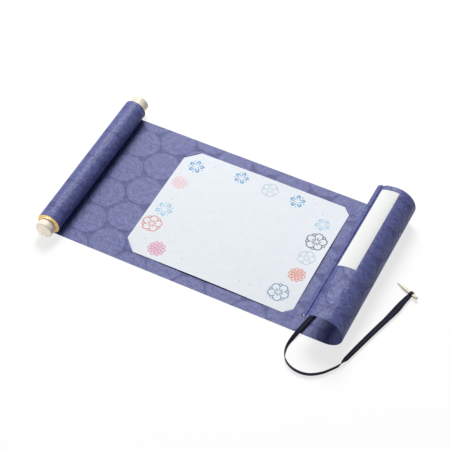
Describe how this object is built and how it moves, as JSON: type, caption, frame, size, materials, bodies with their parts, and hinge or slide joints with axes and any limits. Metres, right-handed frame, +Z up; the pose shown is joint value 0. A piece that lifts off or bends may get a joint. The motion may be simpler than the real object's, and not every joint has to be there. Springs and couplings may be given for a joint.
{
  "type": "paper scroll",
  "caption": "Partly unrolled presentation scroll: a patterned sheet wound on a knobbed core tube, with a tucked-in message card, a curled labelled end and a tie ribbon with a pin.",
  "frame": {"origin": "middle of the flat base, measured without the tie ribbon and its pin", "axes": "+X along the sheet from the roll to the curl, +Y across the sheet to its back edge, +Z up from the table"},
  "size_m": [0.4225, 0.2621, 0.045],
  "materials": {
    "mounting_paper": "matte, tone-on-tone round motifs",
    "gold_paper": "metallic gold paper",
    "knob_wood": "pale, finely turned, satin",
    "rod_wood": "plain stick",
    "card_paper": "smooth card with printed flower crests",
    "label_paper": "matte white paper",
    "ribbon_cloth": "flat woven ribbon",
    "pin_wood": "pale, smooth"
  },
  "bodies": {
    "root": {"mounting_sheet": "mounting_paper", "core_tube": "gold_paper", "front_knob": "knob_wood", "back_knob": "knob_wood", "hem_rod": "rod_wood", "message_card": "card_paper", "title_label": "label_paper", "tie_ribbon": "ribbon_cloth", "clasp_pin": "pin_wood"}
  },
  "joints": []
}
